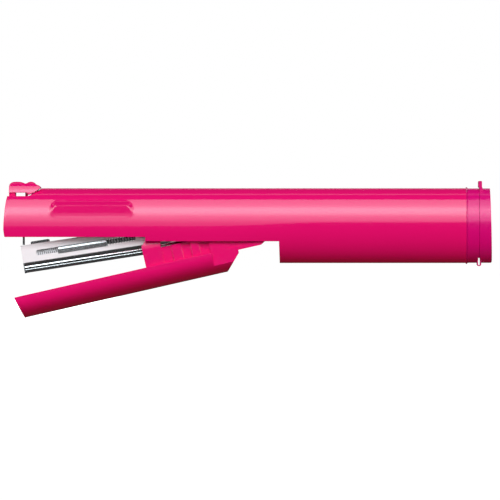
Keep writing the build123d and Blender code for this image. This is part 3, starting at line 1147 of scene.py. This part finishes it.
# ------------------------------------------------------------------ lever
@dataclass
class Trough:
    """Lever trough: the lower jaw that carries the anvil."""

    half: float = 8.1
    rim_z: float = 6.2
    oval_z: float = 5.2
    rear_x: float = 56.8
    segments: int = 96

    def section(self, share: float, wall: float, floor: float, top: float) -> Point2:
        """Point of the trough's outline: upright walls above a half oval.

        Args:
            share: share of the way round.
            wall: inset of the walls.
            floor: inset of the bottom.
            top: height of the walls' ends.

        Returns:
            y and z of the point.
        """
        half = self.half - wall
        if share < 0.06:
            return half, top + (self.oval_z - top) * share / 0.06
        if share <= 0.74:
            angle = math.pi * (share - 0.06) / 0.68
            return half * math.cos(angle), self.oval_z - (self.oval_z - floor) * math.sin(angle)
        if share <= 0.80:
            return -half, self.oval_z + (top - self.oval_z) * (share - 0.74) / 0.06
        return -half + 2 * half * (share - 0.80) / 0.20, top

    def build(self) -> bpy.types.Object:
        """Outer trough, hollowed, with ledges, bosses and a raked nose.

        Returns:
            The finished trough.
        """
        stations = [-1.0 + 1.7 * i for i in range(34)] + [self.rear_x]
        shell = skin(lambda x, s: (x, *self.section(s, 0, 0, self.rim_z)), stations, self.segments, "trough")
        hollow = skin(lambda x, s: (x, *self.section(s, 1.0, 1.2, 8.2)), [2.6, 58.0], self.segments, "hollow")
        combine(shell, "DIFFERENCE", hollow)
        ledge = [(5.4, 2.6), (6.6, 2.6), (7.4, 4.2), (7.4, 5.4), (5.4, 5.4)]
        for side in SIDES:
            combine(shell, "UNION", bar(flipped(side, ledge), 2.6, 36.0))
        for x, top, bore in ((12.0, 5.4, 0.8), (30.0, 5.4, 0.8), (51.5, 4.4, 0.7), (55.0, 4.4, 0.7)):
            combine(shell, "UNION", cylinder((x, 0, (0.8 + top) / 2), "Z", 1.8, top - 0.8, 40))
            combine(shell, "DIFFERENCE", cylinder((x, 0, 4.0), "Z", bore, 4.0, 32))
        rake = [(-2, -1), (2.05, -1), (1.8, 0.15), (0.12, 6.5), (-2, 6.5)]
        combine(shell, "DIFFERENCE", prism(rake, -10, 10))
        soften(shell, 0.2, 3)
        return deliver(shell, "lever_trough", Swing.LEVER, Body.LEVER, GLOSS, "lever_shell")


@dataclass
class Lever:
    """Lever assembly: trough, inner frame, anvil and their fasteners."""

    trough: Trough = field(default_factory=Trough)
    rib_edges: tuple[float, ...] = (43.5, 46.3, 49.1, 51.6, 54.0, 56.8)
    cheek_low: float = 6.0
    cheek_high: float = 11.5
    cheek_outer: float = 7.2

    def frame_piece(self) -> bpy.types.Object:
        """Inner frame with its castellated cheeks.

        Returns:
            The finished frame.
        """
        frame_copy = copy_of("lever_frame", Swing.LEVER)
        cuts = []
        for start, end in zip(self.rib_edges[::2], self.rib_edges[1::2]):
            cuts += [(start + 0.05, end - 0.05, *span(side, 6.12, self.cheek_outer)) for side in SIDES]
        for x in (*self.rib_edges[1:5], self.rib_edges[0]):
            cuts += [(x - 0.06, x + 0.06, *span(side, 6.05, self.cheek_outer)) for side in SIDES]
        for cut in cuts:
            combine(frame_copy, "DIFFERENCE", box(*cut, self.cheek_low, self.cheek_high))
        for side in SIDES:
            arm_step = box(61.8, 78.0, *span(side, 6.66, self.cheek_outer), 6.35, 16.0)
            combine(frame_copy, "DIFFERENCE", arm_step)
        soften(frame_copy, 0.12, 2)
        return deliver(frame_copy, "lever_frame_piece", Swing.LEVER, Body.LEVER, GLOSS, "lever_frame")

    def leaf(self) -> bpy.types.Object:
        """Bent leaf spring that rides on the lever.

        Returns:
            The finished spring.
        """
        strip = [
            (53.2, 5.6), (53.2, 5.9), (48.3, 5.9), (44.5, 7.5), (41.0, 9.3), (40.9, 9.0), (44.4, 7.2),
            (48.2, 5.6),
        ]
        leaf = prism(strip, -2.5, 2.5)
        combine(leaf, "DIFFERENCE", cylinder((51.5, 0, 6), "Z", 0.7, 3, 32))
        soften(leaf, 0.05, 1)
        piece = deliver(leaf, "leaf_spring", Swing.LEVER, Body.LEVER, SPRING, "magazine_leaf")
        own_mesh(piece)
        return piece

    def build(self) -> None:
        """Make the lever's pieces."""
        self.trough.build()
        self.frame_piece()
        refine("anvil_plate", Body.LEVER, BRIGHT, 0.05)
        refine("anvil_rivets", Body.LEVER, ZINC, 0.08)
        refine("frame_screws", Body.LEVER, ZINC, 0.10)
        self.leaf()


# ------------------------------------------------------------------ magazine
@dataclass
class Magazine:
    """Steel magazine with its staples, follower and spring."""

    staple_count: int = 16
    pitch: float = 0.56
    first_x: float = 6.0
    wire: float = 0.49
    gap: float = 0.11
    half: float = 4.3
    top: float = 14.6
    foot: float = 9.8
    coil_radius: float = 0.79
    coil_wire: float = 0.19
    coil_pitch: float = 0.78
    coil_start: float = 29.02
    coil_end: float = 43.78
    rod_z: float = 12.55
    inner_y: float = 4.7
    outer_y: float = 5.2

    def staple(self, index: int) -> bpy.types.Object:
        """One staple of flattened wire with rounded shoulders.

        Args:
            index: its place in the strip, from the front.

        Returns:
            The staple.
        """
        x0 = self.first_x + index * self.pitch
        inner = self.half - self.wire
        low = self.top - self.wire
        corners = [
            (-self.half, self.foot), (-self.half, self.top), (self.half, self.top), (self.half, self.foot),
            (inner, self.foot), (inner, low), (-inner, low), (-inner, self.foot),
        ]
        bm = extruded([(x0, y, z) for y, z in corners], (self.wire - self.gap, 0, 0))
        bmesh.ops.bevel(
            bm, geom=bm.edges[:], offset=0.1, offset_type="OFFSET", affect="EDGES", segments=2, profile=0.5,
            material=-1,
        )
        return object_from(bm, "staple")

    def staples(self) -> bpy.types.Object:
        """The strip of staples as one piece.

        Returns:
            The finished strip.
        """
        bm = bmesh.new()
        for index in range(self.staple_count):
            one = self.staple(index)
            bm.from_mesh(one.data)
            bpy.data.objects.remove(one)
        strip = object_from(bm, "strip")
        return deliver(strip, "staples", Swing.MAGAZINE, Body.MAGAZINE, STAPLE, "staple_strip")

    def spring(self) -> bpy.types.Object:
        """Follower spring, a round wire spun into a coil.

        Returns:
            The finished spring.
        """
        turns = round((self.coil_end - self.coil_start) / self.coil_pitch)
        per_turn = 20
        bm = bmesh.new()
        circle = bmesh.ops.create_circle(bm, cap_ends=True, segments=8, radius=self.coil_wire)
        turn = Matrix.Rotation(math.pi / 2, 4, "Y") @ Matrix.Rotation(math.pi / 2, 4, "X")
        place = Matrix.Translation((self.coil_start, self.coil_radius, self.rod_z)) @ turn
        bmesh.ops.transform(bm, matrix=place, verts=circle["verts"])
        bmesh.ops.spin(
            bm, geom=bm.verts[:] + bm.edges[:] + bm.faces[:], cent=(self.coil_start, 0, self.rod_z),
            axis=(1, 0, 0), dvec=((self.coil_end - self.coil_start) / (turns * per_turn), 0, 0),
            angle=turns * 2 * math.pi, steps=turns * per_turn, use_merge=False, use_duplicate=False,
        )
        bmesh.ops.remove_doubles(bm, verts=bm.verts, dist=1e-5)
        bmesh.ops.recalc_face_normals(bm, faces=bm.faces)
        coil = object_from(bm, "coil")
        piece = deliver(coil, "follower_spring", Swing.MAGAZINE, Body.MAGAZINE, SPRING, "pusher_spring")
        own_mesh(piece)
        return piece

    def channel(self) -> bpy.types.Object:
        """Bent steel channel with slots, shoulder bend, lower rail and pivot ears.

        Returns:
            The finished channel.
        """
        side = [
            (5.2, 15.15), (5.2, 10.3), (5.17, 10.05), (5.06, 9.6), (4.93, 9.22), (5.06, 9.02), (5.08, 8.94),
            (5.0, 8.62), (4.92, 8.36), (5.1, 8.28), (5.12, 8.2), (5.04, 7.8), (4.95, 7.4),
        ]
        inner = [(-4.7, 15.15), (-4.7, 7.9), (4.7, 7.9), (4.7, 15.15)]
        body = bar([*side, *flipped(-1, side[::-1]), *inner], 5.0, 58.0)
        plate = [
            (57.0, 7.4), (62.0, 7.4), (70.7, 6.95), (72.3, 6.6), (74.2, 7.1), (75.7, 8.6), (76.2, 10.5),
            (75.7, 12.4), (74.2, 13.9), (72.3, 14.4), (66.0, 15.0), (57.0, 15.15),
        ]
        for side_sign in (1, -1):
            combine(body, "UNION", prism(plate, *span(side_sign, self.inner_y, self.outer_y)))
        pivot = cylinder((DATUM.pivot_x, 0, DATUM.pivot_z), "Y", 1.55, 20, 64)
        combine(body, "DIFFERENCE", box(0, 7.2, -4.7, 4.7, 7, 8.2), pivot, prism(self.slot(), -9, 9))
        soften(body, 0.05, 2)
        return deliver(body, "channel", Swing.MAGAZINE, Body.MAGAZINE, SHEET, "magazine_channel")

    def slot(self) -> list[Point2]:
        """Outline of the long side slot with rounded ends.

        Returns:
            The outline, as x and z pairs.
        """
        low, high, start, end, radius = 11.8, 13.3, 8.8, 36.8, 0.4
        left, right, bottom, ceiling = start + radius, end - radius, low + radius, high - radius
        corners = ((right, ceiling), (left, ceiling), (left, bottom), (right, bottom))
        points = []
        for quarter, (x, z) in enumerate(corners):
            for step in range(5):
                angle = math.pi / 2 * (quarter + step / 4)
                points.append((x + radius * math.cos(angle), z + radius * math.sin(angle)))
        return points

    def pusher(self) -> bpy.types.Object:
        """Staple follower: saddle, inner block and a stepped bar outside each slot.

        Returns:
            The finished follower.
        """
        saddle = box(14.85, 28.8, -4.45, 4.45, 10.0, 14.6)
        combine(saddle, "DIFFERENCE", box(13, 30, -3.85, 3.85, 9, 14.1))
        block = box(25.5, 28.8, -2.2, 2.2, 11.2, 13.35)
        combine(saddle, "UNION", box(16.05, 28.0, -5.3, 5.3, 11.95, 13.15), block)
        ridge = [(5.25, 12.45), (5.54, 12.5), (5.54, 12.6), (5.48, 12.9), (5.36, 13.2), (5.25, 13.32)]
        for side in SIDES:
            combine(saddle, "UNION", box(14.85, 28.8, *span(side, 5.28, 5.4), 11.45, 13.4))
            combine(saddle, "UNION", bar(flipped(side, ridge), 15.0, 28.5))
        combine(saddle, "DIFFERENCE", cylinder((22, 0, self.rod_z), "X", 0.7, 30, 32))
        soften(saddle, 0.07, 2)
        return deliver(saddle, "follower", Swing.MAGAZINE, Body.PUSHER, BRIGHT, "pusher")

    def build(self) -> None:
        """Make the magazine's pieces."""
        self.channel()
        refine("nose_plate", Body.MAGAZINE, SHEET, 0.05)
        refine("magazine_cover", Body.MAGAZINE, BRIGHT, 0.05)
        refine("core_rail", Body.MAGAZINE, BRIGHT, 0.04)
        refine("guide_rod", Body.MAGAZINE, BRIGHT, 0.08)
        self.pusher()
        self.staples()
        self.spring()


@dataclass
class Works:
    """Pins, driver and springs that stay inside the barrel."""

    def build(self) -> None:
        """Make the inner pieces."""
        refine("driver_blade", Body.BARREL, BRIGHT, 0.04)
        refine("driver_screws", Body.BARREL, ZINC, 0.08)
        refine("pivot_pin", Body.BARREL, ZINC, 0.15)
        refine("pivot_bushes", Body.BARREL, NYLON, 0.06)
        refine("latch_pin", Body.BARREL, ZINC, 0.10)
        dress(frame["nodes"]["return_spring"], SPRING)
        log.info("return_spring: CAD mesh, rides on barrel")


# ------------------------------------------------------------------ studio
KEY_RAMP = [
    (6.2, 0.9), (10.0, 0.9), (14.0, 1.1), (21.0, 2.2), (28.0, 3.3), (33.0, 5.2), (38.0, 6.7), (43.0, 7.1),
    (49.0, 5.8), (55.0, 4.1), (60.0, 3.5), (70.0, 2.8), (74.5, 2.6),
]


@dataclass
class Studio:
    """Camera, floor, backdrop and soft lights."""

    view_centre: Point2 = (69.05, 3.65)
    view_width: float = 140.35
    distance: float = 2.60
    arch_radius: float = 0.6
    arch_half: float = 1.4
    arch_tint: tuple[float, float, float, float] = (0.88, 1.0, 1.04, 1.0)

    def camera(self) -> None:
        """Long-lens camera looking squarely at the side."""
        data = bpy.data.cameras.new("camera")
        data.sensor_width = 36.0
        target = DATUM.point(self.view_centre[0], 0.0, self.view_centre[1])
        data.lens = data.sensor_width * self.distance / (self.view_width * MM)
        data.clip_end = 20.0
        camera = bpy.data.objects.new("camera", data)
        camera.location = target + Vector((0, -self.distance, 0))
        camera.rotation_euler = (math.pi / 2, 0, 0)
        bpy.context.scene.collection.objects.link(camera)
        bpy.context.scene.camera = camera

    def emitter(self, name: str, low: float, high: float, ramp: Sequence[Point2]) -> None:
        """Arched softbox round the X axis, seen only in reflections.

        Args:
            name: the object's name.
            low: lowest elevation in degrees, on the camera's side.
            high: highest elevation.
            ramp: elevation and radiance pairs.
        """
        bm = bmesh.new()
        centre = DATUM.point(68.5, 0, 10.5)
        start = Matrix.Rotation(math.radians(low), 3, "X").inverted() @ Vector((0, -self.arch_radius, 0))
        ends = (-self.arch_half, self.arch_half)
        verts = [bm.verts.new(centre + start + Vector((x, 0, 0))) for x in ends]
        edge = bm.edges.new(verts)
        sweep = math.radians(high - low)
        bmesh.ops.spin(bm, geom=[*verts, edge], cent=centre, axis=(-1, 0, 0), angle=sweep, steps=40)
        arch = object_from(bm, name)
        arch.data.materials.append(self.glow(name, centre, ramp))
        arch.visible_camera = False
        arch.visible_diffuse = False
        arch.visible_shadow = False

    def glow(self, name: str, centre: Vector, ramp: Sequence[Point2]) -> bpy.types.Material:
        """Emission that follows the elevation round the X axis.

        Args:
            name: the material's name.
            centre: the arch's middle.
            ramp: elevation and radiance pairs.

        Returns:
            The material.
        """
        material = bpy.data.materials.new(name)
        material.use_nodes = True
        tree = material.node_tree
        tree.nodes.clear()
        position = tree.nodes.new("ShaderNodeTexCoord")
        shift = tree.nodes.new("ShaderNodeVectorMath")
        shift.operation = "SUBTRACT"
        shift.inputs[1].default_value = centre
        split = tree.nodes.new("ShaderNodeSeparateXYZ")
        ahead = tree.nodes.new("ShaderNodeMath")
        ahead.operation = "MULTIPLY"
        ahead.inputs[1].default_value = -1.0
        angle = tree.nodes.new("ShaderNodeMath")
        angle.operation = "ARCTAN2"
        curve = tree.nodes.new("ShaderNodeFloatCurve")
        scaled = tree.nodes.new("ShaderNodeMath")
        scaled.operation = "DIVIDE"
        scaled.inputs[1].default_value = math.pi
        peak = max(value for _, value in ramp)
        points = curve.mapping.curves[0].points
        points[0].location = (0.0, 0.0)
        points[1].location = (1.0, 0.0)
        for degrees, value in ramp:
            points.new(degrees / 180.0, value / peak)
        curve.mapping.update()
        glow = tree.nodes.new("ShaderNodeEmission")
        glow.inputs["Color"].default_value = self.arch_tint
        strength = tree.nodes.new("ShaderNodeMath")
        strength.operation = "MULTIPLY"
        strength.inputs[1].default_value = peak
        out = tree.nodes.new("ShaderNodeOutputMaterial")
        for a, b in (
            (position.outputs["Object"], shift.inputs[0]), (shift.outputs[0], split.inputs[0]),
            (split.outputs["Y"], ahead.inputs[0]), (split.outputs["Z"], angle.inputs[0]),
            (ahead.outputs[0], angle.inputs[1]), (angle.outputs[0], scaled.inputs[0]),
            (scaled.outputs[0], curve.inputs["Value"]), (curve.outputs[0], strength.inputs[0]),
            (strength.outputs[0], glow.inputs["Strength"]), (glow.outputs[0], out.inputs["Surface"]),
        ):
            tree.links.new(a, b)
        return material

    def panel(self, name: str, place: Point3, size: Point2, power: float, colour: Point3) -> None:
        """Soft area light aimed at the object, felt only by diffuse surfaces.

        Args:
            name: the light's name.
            place: where it stands, in metres from the object.
            size: width and height in metres.
            power: watts.
            colour: linear colour.
        """
        data = bpy.data.lights.new(name, "AREA")
        data.shape = "RECTANGLE"
        data.size, data.size_y = size
        data.energy = power
        data.color = colour
        light = bpy.data.objects.new(name, data)
        centre = DATUM.point(68.5, 0, 8.0)
        light.location = centre + Vector(place)
        light.rotation_euler = (-Vector(place)).to_track_quat("-Z", "Y").to_euler()
        light.visible_glossy = False
        light.visible_camera = False
        bpy.context.scene.collection.objects.link(light)

    def floor(self) -> None:
        """Plain pale floor that lifts towards white."""
        bm = bmesh.new()
        bmesh.ops.create_circle(bm, cap_ends=True, segments=64, radius=6.0)
        floor = object_from(bm, "floor")
        floor.data.transform(Matrix.Translation((0, 0, CAD_BOX[0][2] - 0.0002)))
        graph = Graph("floor_paper")
        tone = graph.remap(graph.noise(0.002, 3.0), 0.0, 1.0)
        paper = graph.blend(tone, (0.80, 0.80, 0.80), (0.78, 0.78, 0.78))
        graph.feed(graph.shader.inputs["Base Color"], paper)
        graph.shader.inputs["Roughness"].default_value = 0.9
        graph.shader.inputs["Specular IOR Level"].default_value = 0.0
        graph.shader.inputs["Emission Color"].default_value = (1.0, 1.0, 1.0, 1.0)
        scaled = graph.node("Mapping", {"Vector": graph.coordinates, "Scale": (1.6, 1.6, 1.6)})
        away = graph.node("TexGradient", {"Vector": scaled.outputs[0]}, gradient_type="SPHERICAL")
        lift = graph.remap(away.outputs["Fac"], 1.0, 0.86, 0.2, 0.9)
        graph.feed(graph.shader.inputs["Emission Strength"], lift)
        floor.data.materials.append(graph.material)
        floor.visible_glossy = False
        floor.visible_diffuse = False
        floor.visible_shadow = False

    def world(self) -> None:
        """White for the camera, dim for everything else."""
        world = bpy.data.worlds.new("studio")
        world.use_nodes = True
        tree = world.node_tree
        background = tree.nodes["Background"]
        path = tree.nodes.new("ShaderNodeLightPath")
        level = tree.nodes.new("ShaderNodeMapRange")
        level.inputs["To Min"].default_value = 0.03
        level.inputs["To Max"].default_value = 1.0
        tree.links.new(path.outputs["Is Camera Ray"], level.inputs["Value"])
        tree.links.new(level.outputs[0], background.inputs["Strength"])
        background.inputs["Color"].default_value = (1.0, 1.0, 1.0, 1.0)
        bpy.context.scene.world = world

    def build(self) -> None:
        """Set up the whole studio."""
        bpy.context.scene.view_settings.view_transform = "Standard"
        self.camera()
        self.world()
        self.floor()
        self.emitter("key_arch", 6.2, 74.5, KEY_RAMP)
        self.emitter("hair_strip", 95.5, 101.0, [(95.5, 1.0), (101.0, 1.0)])
        self.emitter("rear_arch", 150.0, 159.0, [(150.0, 1.2), (159.0, 1.2)])
        self.panel("key_fill", (0.0, -0.995, 0.67), (1.2, 0.7), 16.3, (1.0, 0.99, 1.03))
        self.panel("front_fill", (0.0, -1.2, 0.06), (1.0, 0.3), 2.4, (1.0, 1.0, 1.0))
        self.panel("under_fill", (0.0, -0.2, -0.98), (1.2, 0.5), 2.6, (1.0, 0.14, 0.16))
        self.panel("back_fill", (0.0, 1.0, 0.5), (1.2, 0.7), 12.0, (1.0, 1.0, 1.0))


def main() -> None:
    """Build every piece and the studio."""
    logging.basicConfig(level=logging.INFO, format="%(name)s %(message)s")
    Studio().build()
    barrel = Barrel()
    barrel.build()
    ThumbLatch().build()
    RearEnd(barrel).build()
    Lever().build()
    Magazine().build()
    Works().build()
    for name, node in frame["nodes"].items():
        if not node.hide_render and not node.data.materials:
            log.warning("%s has no finish", name)


if __name__ == "__main__":
    main()
    bpy.context.view_layer.update()
